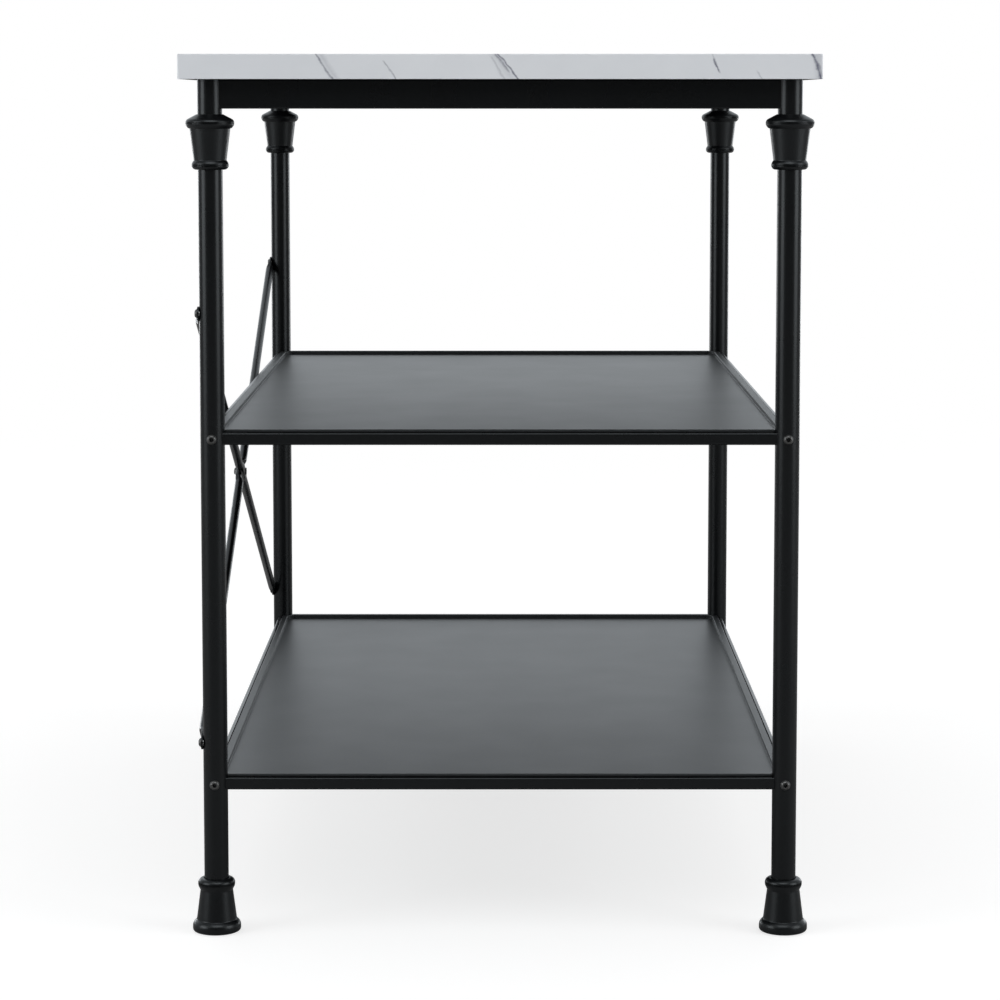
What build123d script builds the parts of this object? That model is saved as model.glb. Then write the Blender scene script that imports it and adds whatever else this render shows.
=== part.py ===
from build123d import *
from math import hypot, sqrt
import os

# Kitchen island: a marble-look worktop on four round legs, two tray shelves between the legs,
# a crossed brace behind, and bell feet that screw in and out to level it.
# Millimetres. +X runs along the length, -Y is the open front, +Z is up.
# The origin is on the floor under the middle of the worktop.

os.makedirs("parts", exist_ok=True)

# Worktop
length = 1067.0
width = 654.0
height = 914.4
worktop_thickness = 25.4
worktop_corner_radius = 2.0
worktop_edge_radius = 0.5
laminate_thickness = 0.8
backing_thickness = 0.6

# Legs
leg_diameter = 25.4
leg_wall = 1.5
end_overhang = 30.0
side_overhang = 30.0

# Aprons, rectangular tube on edge
apron_height = 30.0
apron_depth = 15.0
apron_wall = 1.2
apron_corner_radius = 1.5

# Corner brackets, folded plate
bracket_reach = 75.0
bracket_tip = 25.0
bracket_thickness = 2.0
bracket_flange_height = 24.0
bracket_bolt_inset = 25.0
bracket_bolt_pitch = 25.0
bracket_bolt_drop = 14.4

# Collars, turned
collar_drop = 35.7
collar_cap_height = 4.7
collar_rim_radius = 24.75
collar_rim_height = 8.3
collar_rim_crest = 3.1
collar_crown_inset = 2.1
collar_base_inset = 1.0
collar_undercut_height = 2.1
collar_shoulder_radius = 20.8
collar_waist_radius = 16.7
collar_cone_height = 30.0
collar_bead_radius = 18.9
collar_bead_height = 11.4

# Bell feet
foot_height = 57.0
foot_rim_radius = 25.2
foot_rim_height = 12.5
foot_edge_radius = 2.0
foot_bulge_inset = 1.1
foot_bulge_height = 8.5
foot_shoulder_radius = 20.9
foot_waist_radius = 17.0
foot_bead_radius = 19.1
foot_bead_height = 12.0
foot_web_thickness = 10.0

# Glide pad and threaded stud inside each foot
pad_radius = 18.5
pad_thickness = 8.0
pad_edge_radius = 1.0
rim_above_floor = 0.6
stud_radius = 4.0
stud_chamfer = 0.8
stud_length = 38.0
stud_flange_radius = 7.0
stud_flange_thickness = 3.0
plug_length = 18.0
plug_flange_thickness = 2.0

# Shelves
lower_rail_height = 151.5
upper_rail_height = 513.3
rail_size = 12.7
rail_wall = 1.2
rail_corner_radius = 2.0
tray_sheet = 1.0
tray_wall_gap = 0.15
tray_corner_land = 3.5
tray_lip_height = 3.0
tray_recess = 4.8
tray_edge_radius = 0.6
stiffener_width = 30.0
stiffener_height = 9.0
rail_nut_length = 20.0

# Button heads of all bolts: the flat ring round the hex socket, the dome's bulge, the metal under the socket
button_land = 1.0
button_bulge = 0.55
button_floor = 1.2

# Shelf bolts
shelf_bolt_radius = 3.0
shelf_bolt_head_radius = 5.25
shelf_bolt_head_height = 3.3
shelf_bolt_socket = 4.0
shelf_bolt_thread = 18.0

# Crossed brace, its upper ends set down from the worktop's underside
brace_low_height = 200.5
brace_drop = 240.0
brace_diameter = 10.0
brace_section_flat = 0.1
brace_tab_width = 14.5
brace_tab_thickness = 2.0
brace_tab_length = 9.0
brace_press_length = 14.0
brace_crossing_width = 12.4
brace_crossing_thickness = 5.4
brace_crossing_length = 26.0
brace_bolt_radius = 2.5
brace_bolt_head_radius = 4.75
brace_bolt_head_height = 2.75
brace_bolt_socket = 3.0
brace_bolt_thread = 10.0
rivet_nut_radius = 3.6
rivet_nut_length = 11.0
centre_nut_width = 8.0
centre_nut_thickness = 4.0
centre_nut_seat = 2.7

# Small screws under the worktop
bracket_bolt_radius = 2.5
bracket_bolt_head_radius = 4.75
bracket_bolt_head_height = 2.75
bracket_bolt_socket = 3.0
worktop_screw_radius = 2.0
worktop_screw_head_radius = 4.0
worktop_screw_head_height = 2.2
worktop_screw_head_round = 0.9
worktop_screw_slot_length = 4.0
worktop_screw_slot_width = 0.8
worktop_screw_slot_depth = 1.3
worktop_screw_grip = 16.0
worktop_screw_tip_gap = 1.6
worktop_screw_inset = 25.0
worktop_screw_pitch = 22.0

# Clearances
weld_gap = 0.05
push_fit = 0.05
thread_fit = 0.05
bolt_hole_fit = 0.2
sliding_gap = 0.3
collar_fit = 0.1
tray_notch_gap = 0.5

# Narrow flat ring at the mouths of collars and feet, and the share of a sheet that its fillet may take
mouth_land = 0.8
fillet_share = 0.8

# Places worked out from the sizes above
leg_x = length / 2 - end_overhang
leg_y = width / 2 - side_overhang
leg_radius = leg_diameter / 2
leg_bore = leg_radius - leg_wall
worktop_under = height - worktop_thickness
brace_high_height = worktop_under - brace_drop
web_low = pad_thickness
web_high = web_low + foot_web_thickness
leg_low = web_high + plug_flange_thickness
rail_tops = {
    "lower": lower_rail_height + rail_size,
    "upper": upper_rail_height + rail_size,
}
corners = {
    "front_left": (-leg_x, -leg_y),
    "front_right": (leg_x, -leg_y),
    "back_left": (-leg_x, leg_y),
    "back_right": (leg_x, leg_y),
}


def save(piece, label):
    """Label a finished piece and write it under that name."""
    piece.part.label = label
    export_step(piece.part, f"parts/{label}.step")


def sign(value):
    """Which side of the middle a coordinate is on."""
    return 1 if value > 0 else -1


def button_bolt(radius, thread, head_radius, head_height, socket):
    """A button-head bolt along Z, its head's underside at the origin and its shank below."""
    with BuildPart() as bolt:
        with BuildSketch():
            Circle(radius)
        extrude(amount=-thread)
        with BuildSketch(Plane.XZ):
            with BuildLine():
                crown = socket / sqrt(3) + button_land
                Line((0, head_height), (0, 0))
                Line((0, 0), (head_radius, 0))
                SagittaArc((head_radius, 0), (crown, head_height), -button_bulge)
                Line((crown, head_height), (0, head_height))
            make_face()
        revolve(axis=Axis.Z)
        with BuildSketch(Plane.XY.offset(head_height)):
            RegularPolygon(socket / 2, 6, major_radius=False)
        extrude(amount=button_floor - head_height, mode=Mode.SUBTRACT)
    return bolt


def set_of(piece, places):
    """Copies of one fastener as a group of separate solids, one on each plane."""
    with BuildPart() as group:
        with Locations(*places):
            add(piece.part)
    return group


def rail_between(start, end, depth, tall, wall, corner_radius):
    """A rectangular tube from one leg's axis to another's, its ends hollowed to fit the round legs."""
    run = Vector(*end) - Vector(*start)
    with BuildPart() as rail:
        with BuildSketch(Plane(origin=start, x_dir=Vector(0, 0, 1).cross(run), z_dir=run)):
            RectangleRounded(depth, tall, corner_radius)
            inner_radius = max(corner_radius - wall, wall / 4)
            RectangleRounded(depth - 2 * wall, tall - 2 * wall, inner_radius, mode=Mode.SUBTRACT)
        extrude(amount=run.length)
        with Locations(start, end):
            Cylinder(leg_radius + weld_gap, 2 * tall, mode=Mode.SUBTRACT)
    return rail


# Worktop: board, marble-look laminate over its face and edges, backing sheet below
board_length = length - 2 * laminate_thickness
board_width = width - 2 * laminate_thickness
board_low = worktop_under + backing_thickness
board_high = height - laminate_thickness
board_corner_radius = max(worktop_corner_radius - laminate_thickness, laminate_thickness / 4)
bracket_inner_x = leg_x - apron_depth / 2
bracket_inner_y = leg_y - apron_depth / 2
screw_spots = []
for x, y in corners.values():
    for step in (0, 1):
        along = worktop_screw_inset + step * worktop_screw_pitch
        across = worktop_screw_inset + bracket_thickness
        spot_x = sign(x) * (bracket_inner_x - along)
        spot_y = sign(y) * (bracket_inner_y - across)
        screw_spots.append((spot_x, spot_y))

with BuildPart() as worktop_core:
    with BuildSketch(Plane.XY.offset(board_low)):
        RectangleRounded(board_length, board_width, board_corner_radius)
    extrude(amount=board_high - board_low)
    with BuildSketch(Plane.XY.offset(board_low)):
        with Locations(*screw_spots):
            Circle(worktop_screw_radius + thread_fit)
    extrude(amount=worktop_screw_grip - backing_thickness, mode=Mode.SUBTRACT)
save(worktop_core, "worktop_core")

with BuildPart() as worktop_laminate:
    with BuildSketch(Plane.XY.offset(worktop_under)):
        RectangleRounded(length, width, worktop_corner_radius)
    extrude(amount=worktop_thickness)
    upper_edges = worktop_laminate.faces().sort_by(Axis.Z)[-1].edges()
    fillet(upper_edges, min(worktop_edge_radius, laminate_thickness * fillet_share))
    with BuildSketch(Plane.XY.offset(worktop_under)):
        RectangleRounded(board_length, board_width, board_corner_radius)
    extrude(amount=worktop_thickness - laminate_thickness, mode=Mode.SUBTRACT)
save(worktop_laminate, "worktop_laminate")

with BuildPart() as worktop_backing:
    with BuildSketch(Plane.XY.offset(worktop_under)):
        RectangleRounded(board_length, board_width, board_corner_radius)
        with Locations(*screw_spots):
            Circle(worktop_screw_radius + thread_fit, mode=Mode.SUBTRACT)
    extrude(amount=backing_thickness)
save(worktop_backing, "worktop_backing")

# Legs: round tube, drilled lengthways for the shelf bolts and, at the back, for the brace
shelf_bolt_heights = [lower_rail_height + rail_size / 2, upper_rail_height + rail_size / 2]
brace_bolt_heights = [brace_low_height, brace_high_height]
for corner, (x, y) in corners.items():
    with BuildPart() as leg:
        with BuildSketch(Plane.XY.offset(leg_low)):
            with Locations((x, y)):
                Circle(leg_radius)
                Circle(leg_bore, mode=Mode.SUBTRACT)
        extrude(amount=worktop_under - leg_low)
        with Locations(*[Plane((x, y, z), z_dir=(1, 0, 0)) for z in shelf_bolt_heights]):
            Cylinder(shelf_bolt_radius + bolt_hole_fit, 2 * leg_diameter, mode=Mode.SUBTRACT)
        if y > 0:
            with Locations(*[Plane((x, y, z), z_dir=(0, 1, 0)) for z in brace_bolt_heights]):
                drilled = (Align.CENTER, Align.CENTER, Align.MIN)
                Cylinder(rivet_nut_radius + push_fit, leg_diameter, align=drilled, mode=Mode.SUBTRACT)
    save(leg, f"leg_{corner}")

# Threaded plugs in the lower ends of the legs, which the feet screw into
with BuildPart() as leg_plug:
    with BuildSketch():
        Circle(leg_radius)
    extrude(amount=plug_flange_thickness)
    with BuildSketch(Plane.XY.offset(plug_flange_thickness)):
        Circle(leg_bore - push_fit)
    extrude(amount=plug_length)
    Hole(stud_radius + thread_fit)
save(set_of(leg_plug, [(x, y, web_high) for x, y in corners.values()]), "leg_plugs")

# Collars: a cap, a rim, a cone and a bead, turned to slip over the leg
collar_top = worktop_under - collar_drop
rim_top = collar_top - collar_cap_height
rim_low = rim_top - collar_rim_height
cone_top = rim_low - collar_undercut_height
cone_low = cone_top - collar_cone_height
collar_low = cone_low - collar_bead_height
collar_bore = leg_radius + collar_fit
collar_lip = collar_bore + mouth_land
rim_crown = collar_rim_radius - collar_crown_inset
rim_base = collar_rim_radius - collar_base_inset
rim_middle = rim_top - collar_rim_crest
collar_bead_middle = (cone_low + collar_low) / 2
for corner, (x, y) in corners.items():
    with BuildPart() as collar:
        with BuildSketch(Plane((x, y, 0), x_dir=(1, 0, 0), z_dir=(0, -1, 0))):
            with BuildLine():
                Line((collar_bore, collar_low), (collar_bore, collar_top))
                Line((collar_bore, collar_top), (collar_lip, collar_top))
                Line((collar_lip, collar_top), (rim_crown, rim_top))
                ThreePointArc((rim_crown, rim_top), (collar_rim_radius, rim_middle), (rim_base, rim_low))
                Line((rim_base, rim_low), (collar_shoulder_radius, cone_top))
                Line((collar_shoulder_radius, cone_top), (collar_waist_radius, cone_low))
                ThreePointArc(
                    (collar_waist_radius, cone_low),
                    (collar_bead_radius, collar_bead_middle),
                    (collar_lip, collar_low),
                )
                Line((collar_lip, collar_low), (collar_bore, collar_low))
            make_face()
        revolve(axis=Axis((x, y, 0), (0, 0, 1)))
    save(collar, f"collar_{corner}")

# Bell feet: a bead, a cone and a rim, bored for the leg above a web and for the pad below it
foot_cone_top = foot_height - foot_bead_height
foot_bore = leg_radius + sliding_gap
foot_lip = foot_bore + mouth_land
foot_edge_high = rim_above_floor + foot_edge_radius
foot_bead_middle = (foot_cone_top + foot_height) / 2
for corner, (x, y) in corners.items():
    with BuildPart() as foot:
        with BuildSketch(Plane((x, y, 0), x_dir=(1, 0, 0), z_dir=(0, -1, 0))):
            with BuildLine():
                Line((0, rim_above_floor), (foot_rim_radius - foot_edge_radius, rim_above_floor))
                RadiusArc(
                    (foot_rim_radius - foot_edge_radius, rim_above_floor),
                    (foot_rim_radius, foot_edge_high),
                    -foot_edge_radius,
                )
                ThreePointArc(
                    (foot_rim_radius, foot_edge_high),
                    (foot_rim_radius - foot_bulge_inset, foot_bulge_height),
                    (foot_shoulder_radius, foot_rim_height),
                )
                Line((foot_shoulder_radius, foot_rim_height), (foot_waist_radius, foot_cone_top))
                ThreePointArc(
                    (foot_waist_radius, foot_cone_top),
                    (foot_bead_radius, foot_bead_middle),
                    (foot_lip, foot_height),
                )
                Line((foot_lip, foot_height), (0, foot_height))
                Line((0, foot_height), (0, rim_above_floor))
            make_face()
        revolve(axis=Axis((x, y, 0), (0, 0, 1)))
        with BuildSketch(Plane.XY.offset(web_high)):
            with Locations((x, y)):
                Circle(foot_bore)
        extrude(amount=foot_height, mode=Mode.SUBTRACT)
        with BuildSketch(Plane.XY):
            with Locations((x, y)):
                Circle(pad_radius + sliding_gap)
        extrude(amount=web_low, mode=Mode.SUBTRACT)
        with BuildSketch(Plane.XY):
            with Locations((x, y)):
                Circle(stud_radius + push_fit)
        extrude(amount=foot_height, mode=Mode.SUBTRACT)
    save(foot, f"foot_{corner}")

    with BuildPart() as stud:
        with BuildSketch(Plane.XY.offset(web_low)):
            with Locations((x, y)):
                Circle(stud_flange_radius)
        extrude(amount=-stud_flange_thickness)
        with BuildSketch(Plane.XY.offset(web_low)):
            with Locations((x, y)):
                Circle(stud_radius)
        extrude(amount=stud_length)
        chamfer(stud.faces().sort_by(Axis.Z)[-1].edges(), stud_chamfer)
    save(stud, f"foot_stud_{corner}")

    with BuildPart() as pad:
        with BuildSketch(Plane.XY):
            with Locations((x, y)):
                Circle(pad_radius)
        extrude(amount=pad_thickness)
        fillet(pad.faces().sort_by(Axis.Z)[0].edges(), pad_edge_radius)
        with BuildSketch(Plane.XY.offset(pad_thickness)):
            with Locations((x, y)):
                Circle(stud_flange_radius + sliding_gap)
        extrude(amount=-stud_flange_thickness - sliding_gap, mode=Mode.SUBTRACT)
    save(pad, f"glide_pad_{corner}")

# Aprons under the worktop, end and long, with holes inside for the corner brackets' bolts
apron_z = worktop_under - apron_height / 2
bracket_bolt_z = worktop_under - bracket_bolt_drop
bracket_bolt_offsets = [bracket_bolt_inset + step * bracket_bolt_pitch for step in (0, 1)]
end_sides = {"left": -leg_x, "right": leg_x}
long_sides = {"front": -leg_y, "back": leg_y}
for side, x in end_sides.items():
    apron = rail_between(
        (x, -leg_y, apron_z), (x, leg_y, apron_z), apron_depth, apron_height, apron_wall, apron_corner_radius
    )
    save(apron, f"apron_{side}")

for side, y in long_sides.items():
    apron = rail_between(
        (-leg_x, y, apron_z), (leg_x, y, apron_z), apron_depth, apron_height, apron_wall, apron_corner_radius
    )
    with apron:
        inward = -sign(y)
        bolt_xs = [end * (bracket_inner_x - offset) for end in (-1, 1) for offset in bracket_bolt_offsets]
        with Locations(*[Plane((x, y, bracket_bolt_z), z_dir=(0, inward, 0)) for x in bolt_xs]):
            drilled = (Align.CENTER, Align.CENTER, Align.MIN)
            Cylinder(bracket_bolt_radius + thread_fit, apron_depth, align=drilled, mode=Mode.SUBTRACT)
    save(apron, f"apron_{side}")

# Corner brackets: a level plate under the worktop and a flange down the long apron's inner face
bracket_bolt = button_bolt(
    bracket_bolt_radius,
    bracket_thickness + apron_depth / 2,
    bracket_bolt_head_radius,
    bracket_bolt_head_height,
    bracket_bolt_socket,
)
bracket_bolt_places = []
for corner, (x, y) in corners.items():
    toward_x = -sign(x)
    toward_y = -sign(y)
    inner_x = sign(x) * bracket_inner_x
    inner_y = sign(y) * bracket_inner_y
    with BuildPart() as bracket:
        with BuildSketch(Plane.XY.offset(worktop_under - bracket_thickness)):
            with BuildLine():
                Polyline(
                    (inner_x, inner_y),
                    (inner_x + toward_x * bracket_reach, inner_y),
                    (inner_x + toward_x * bracket_reach, inner_y + toward_y * bracket_tip),
                    (inner_x + toward_x * bracket_tip, inner_y + toward_y * bracket_reach),
                    (inner_x, inner_y + toward_y * bracket_reach),
                    close=True,
                )
            make_face()
        extrude(amount=bracket_thickness)
        flange_x = inner_x + toward_x * bracket_reach / 2
        flange_y = inner_y + toward_y * bracket_thickness / 2
        with BuildSketch(Plane.XY.offset(worktop_under)):
            with Locations((flange_x, flange_y)):
                Rectangle(bracket_reach, bracket_thickness)
        extrude(amount=-bracket_flange_height)
        with Locations((x, y, worktop_under)):
            Cylinder(leg_radius + weld_gap, 4 * bracket_flange_height, mode=Mode.SUBTRACT)
        own_spots = [spot for spot in screw_spots if spot[0] * x > 0 and spot[1] * y > 0]
        with Locations(*[(spot_x, spot_y, worktop_under) for spot_x, spot_y in own_spots]):
            Cylinder(worktop_screw_radius + bolt_hole_fit, 4 * bracket_thickness, mode=Mode.SUBTRACT)
        for offset in bracket_bolt_offsets:
            seat = Plane(
                (inner_x + toward_x * offset, inner_y + toward_y * bracket_thickness, bracket_bolt_z),
                z_dir=(0, toward_y, 0),
            )
            bracket_bolt_places.append(seat)
            with Locations(seat):
                Cylinder(bracket_bolt_radius + bolt_hole_fit, 4 * bracket_thickness, mode=Mode.SUBTRACT)
    save(bracket, f"corner_bracket_{corner}")
save(set_of(bracket_bolt, bracket_bolt_places), "bracket_bolts")

# Worktop screws: pan heads under the brackets, shanks up into the board
with BuildPart() as worktop_screw:
    with BuildSketch():
        Circle(worktop_screw_head_radius)
    extrude(amount=-worktop_screw_head_height)
    fillet(worktop_screw.faces().sort_by(Axis.Z)[0].edges(), worktop_screw_head_round)
    with BuildSketch():
        Circle(worktop_screw_radius)
    extrude(amount=bracket_thickness + worktop_screw_grip - worktop_screw_tip_gap)
    with BuildSketch(Plane.XY.offset(-worktop_screw_head_height)):
        Rectangle(worktop_screw_slot_length, worktop_screw_slot_width)
        Rectangle(worktop_screw_slot_width, worktop_screw_slot_length)
    extrude(amount=worktop_screw_slot_depth, mode=Mode.SUBTRACT)
screw_seat = worktop_under - bracket_thickness
save(set_of(worktop_screw, [(x, y, screw_seat) for x, y in screw_spots]), "worktop_screws")

# Shelves: end and long rails between the legs, a sheet tray on the rails, its stiffener and fixings
shelf_bolt = button_bolt(
    shelf_bolt_radius,
    leg_diameter + shelf_bolt_thread,
    shelf_bolt_head_radius,
    shelf_bolt_head_height,
    shelf_bolt_socket,
)
rail_bore = rail_size - 2 * rail_wall
with BuildPart() as rail_nut:
    with BuildSketch():
        Rectangle(rail_bore - 2 * push_fit, rail_bore - 2 * push_fit)
    extrude(amount=-rail_nut_length)
    fillet(rail_nut.edges().filter_by(Axis.Z), max(rail_corner_radius - rail_wall, rail_wall / 4))
    Hole(shelf_bolt_radius + thread_fit)


def tray_outline(outset):
    """The inside of the tray's wall in plan, moved outwards by the outset and set back round the legs."""
    lip_width = rail_size / 2 + tray_wall_gap + tray_sheet
    with BuildSketch() as outline:
        Rectangle(2 * (leg_x - lip_width + outset), 2 * (leg_y - lip_width + outset))
        with Locations(*corners.values()):
            Circle(leg_radius + tray_notch_gap + tray_corner_land - outset, mode=Mode.SUBTRACT)
    return outline.sketch


for shelf, rail_top in rail_tops.items():
    rail_z = rail_top - rail_size / 2
    for side, x in end_sides.items():
        rail = rail_between(
            (x, -leg_y, rail_z), (x, leg_y, rail_z), rail_size, rail_size, rail_wall, rail_corner_radius
        )
        save(rail, f"{shelf}_rail_{side}")
    for side, y in long_sides.items():
        rail = rail_between(
            (-leg_x, y, rail_z), (leg_x, y, rail_z), rail_size, rail_size, rail_wall, rail_corner_radius
        )
        save(rail, f"{shelf}_rail_{side}")

    # Tray: a folded lip rests on the rails from their middle inwards, its inner wall beside them goes
    # down to a lower floor, and lip and wall are set back round the legs
    lip_top = rail_top + tray_lip_height
    floor_top = lip_top - tray_recess
    floor_low = floor_top - tray_sheet
    with BuildPart() as tray:
        with BuildSketch(Plane.XY.offset(rail_top)):
            Rectangle(2 * leg_x, 2 * leg_y)
        extrude(amount=tray_lip_height)
        with BuildSketch(Plane.XY.offset(floor_low)):
            add(tray_outline(tray_sheet))
        extrude(amount=lip_top - floor_low)
        with BuildSketch(Plane.XY.offset(floor_top)):
            add(tray_outline(0))
        extrude(amount=tray_recess, mode=Mode.SUBTRACT)
        with BuildSketch(Plane.XY.offset(rail_top)):
            Rectangle(2 * (leg_x - tray_sheet), 2 * (leg_y - tray_sheet))
            add(tray_outline(tray_sheet), mode=Mode.SUBTRACT)
        extrude(amount=tray_lip_height - tray_sheet, mode=Mode.SUBTRACT)
        lip_edges = tray.faces().sort_by(Axis.Z)[-1].edges()
        fillet(lip_edges, min(tray_edge_radius, tray_sheet * fillet_share))
        with Locations(*[(x, y, rail_top) for x, y in corners.values()]):
            Cylinder(leg_radius + tray_notch_gap, 4 * rail_size, mode=Mode.SUBTRACT)
    save(tray, f"{shelf}_tray")

    # Stiffener: a folded channel across the middle, from rail to rail under the tray
    with BuildPart() as stiffener:
        rail_face = leg_y - rail_size / 2
        with BuildSketch(Plane.XY.offset(floor_low)):
            Rectangle(stiffener_width, 2 * (rail_face - weld_gap))
        extrude(amount=-stiffener_height)
        with BuildSketch(Plane.XY.offset(floor_low - tray_sheet)):
            Rectangle(stiffener_width - 2 * tray_sheet, 2 * rail_face)
        extrude(amount=-stiffener_height, mode=Mode.SUBTRACT)
    save(stiffener, f"{shelf}_stiffener")

    bolt_places = []
    nut_places = []
    for x, y in corners.values():
        outward = (sign(x), 0, 0)
        head_x = x + sign(x) * leg_radius
        nut_x = x - sign(x) * (leg_radius + weld_gap)
        bolt_places.append(Plane((head_x, y, rail_z), z_dir=outward))
        nut_places.append(Plane((nut_x, y, rail_z), x_dir=(0, 1, 0), z_dir=outward))
    save(set_of(shelf_bolt, bolt_places), f"{shelf}_shelf_bolts")
    save(set_of(rail_nut, nut_places), f"{shelf}_rail_nuts")

# Crossed brace on the back: two round bars with pressed ends, pressed again where they cross,
# the inner one with a hex seat for the nut, so that the nut stays clear of the rails
brace_y = leg_y + leg_radius + brace_tab_thickness / 2
brace_middle = (brace_low_height + brace_high_height) / 2
brace_rise = brace_high_height - brace_low_height
brace_half = hypot(leg_x, brace_rise / 2)
bar_section = (brace_diameter, brace_diameter)
tab_section = (brace_tab_width, brace_tab_thickness)
crossing_section = (brace_crossing_width, brace_crossing_thickness)
crossing_end = brace_crossing_length / 2
tab_start = brace_half - brace_tab_length
for name, slope, step in (("falling", -1, -1), ("rising", 1, 1)):
    along = Vector(2 * leg_x, 0, slope * brace_rise).normalized()
    outward = Vector(0, 1, 0)
    middle = Vector(0, brace_y, brace_middle)
    half_stations = [
        (crossing_end, crossing_section, step * brace_crossing_thickness / 2),
        (crossing_end + brace_press_length, bar_section, 0),
        (tab_start - brace_press_length, bar_section, 0),
        (tab_start, tab_section, 0),
    ]
    stations = [(-reach, section, shift) for reach, section, shift in reversed(half_stations)] + half_stations
    with BuildPart() as bar:
        for reach, (wide, thick), shift in stations:
            centre = middle + along * reach + outward * shift
            with BuildSketch(Plane(centre, x_dir=along.cross(outward), z_dir=along)):
                RectangleRounded(wide, thick, (min(wide, thick) - brace_section_flat) / 2)
        loft(ruled=True)
        with BuildSketch(Plane(middle, x_dir=along, z_dir=outward)):
            for end in (-1, 1):
                with Locations((end * brace_half, 0)):
                    Circle(brace_tab_width / 2)
                with Locations((end * (tab_start + brace_half) / 2, 0)):
                    Rectangle(brace_tab_length, brace_tab_width)
        extrude(amount=brace_tab_thickness / 2, both=True)
        holes = [middle + along * (end * brace_half) for end in (-1, 1)] + [middle]
        with Locations(*[Plane(spot, z_dir=outward) for spot in holes]):
            Cylinder(brace_bolt_radius + bolt_hole_fit, 4 * brace_diameter, mode=Mode.SUBTRACT)
        if step < 0:
            back = middle - outward * brace_crossing_thickness
            with BuildSketch(Plane(back, x_dir=(1, 0, 0), z_dir=outward)):
                RegularPolygon(centre_nut_width / 2 + push_fit, 6, major_radius=False)
            extrude(amount=centre_nut_seat, mode=Mode.SUBTRACT)
    save(bar, f"brace_bar_{name}")

# Brace fixings: bolts into rivet nuts in the back legs, and a bolt and nut through the crossing
brace_bolt = button_bolt(
    brace_bolt_radius,
    brace_tab_thickness + brace_bolt_thread,
    brace_bolt_head_radius,
    brace_bolt_head_height,
    brace_bolt_socket,
)
leg_face_y = leg_y + leg_radius
brace_spots = [(x, z) for x in end_sides.values() for z in brace_bolt_heights]
bolt_seat_y = leg_face_y + brace_tab_thickness
bolt_seats = [Plane((x, bolt_seat_y, z), z_dir=(0, 1, 0)) for x, z in brace_spots]
save(set_of(brace_bolt, bolt_seats), "brace_end_bolts")

with BuildPart() as rivet_nut:
    with BuildSketch():
        Circle(rivet_nut_radius)
    extrude(amount=-rivet_nut_length)
    Hole(brace_bolt_radius + thread_fit)
rivet_seats = [Plane((x, leg_face_y, z), z_dir=(0, 1, 0)) for x, z in brace_spots]
save(set_of(rivet_nut, rivet_seats), "brace_rivet_nuts")

centre_bolt = button_bolt(
    brace_bolt_radius,
    2 * brace_crossing_thickness + centre_nut_thickness - centre_nut_seat,
    brace_bolt_head_radius,
    brace_bolt_head_height,
    brace_bolt_socket,
)
crossing_face = brace_y + brace_crossing_thickness
save(set_of(centre_bolt, [Plane((0, crossing_face, brace_middle), z_dir=(0, 1, 0))]), "brace_centre_bolt")

with BuildPart() as centre_nut:
    nut_seat_y = brace_y - brace_crossing_thickness + centre_nut_seat
    with BuildSketch(Plane((0, nut_seat_y, brace_middle), x_dir=(1, 0, 0), z_dir=(0, -1, 0))):
        RegularPolygon(centre_nut_width / 2, 6, major_radius=False)
        Circle(brace_bolt_radius + thread_fit, mode=Mode.SUBTRACT)
    extrude(amount=centre_nut_thickness)
save(centre_nut, "brace_centre_nut")
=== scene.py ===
import math

import bpy
import numpy as np
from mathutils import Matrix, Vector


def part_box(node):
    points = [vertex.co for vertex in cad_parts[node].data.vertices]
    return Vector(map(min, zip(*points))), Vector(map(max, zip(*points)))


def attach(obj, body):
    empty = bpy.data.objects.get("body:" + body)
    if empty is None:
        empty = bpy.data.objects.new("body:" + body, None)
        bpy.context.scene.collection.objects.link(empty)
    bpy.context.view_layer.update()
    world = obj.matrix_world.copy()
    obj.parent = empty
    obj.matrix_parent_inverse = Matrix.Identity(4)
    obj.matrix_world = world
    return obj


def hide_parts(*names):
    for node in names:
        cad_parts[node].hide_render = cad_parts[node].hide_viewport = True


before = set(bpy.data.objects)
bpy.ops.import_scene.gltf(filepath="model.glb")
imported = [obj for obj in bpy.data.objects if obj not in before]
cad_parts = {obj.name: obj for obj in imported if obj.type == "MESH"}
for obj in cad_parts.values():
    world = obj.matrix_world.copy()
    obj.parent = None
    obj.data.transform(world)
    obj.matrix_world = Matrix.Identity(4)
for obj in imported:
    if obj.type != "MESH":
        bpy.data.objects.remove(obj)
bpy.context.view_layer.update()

# Legs: four round steel tubes, one inch across, cut square and powder-coated black.
# Each is a ring-shaped outline turned once round the leg's axis. Rails and aprons are welded between
# them, so they belong to the frame.
mm = 0.001
corners = ("front_left", "front_right", "back_left", "back_right")
leg_wall = 1.5 * mm
leg_edge_radius = 0.3 * mm
tube_black = (0.0026, 0.0029, 0.0033)
cool_sheen = (0.93, 0.98, 1.0, 1)
dusting_gain = 1.35
pebble_height = 0.05 * mm


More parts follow.
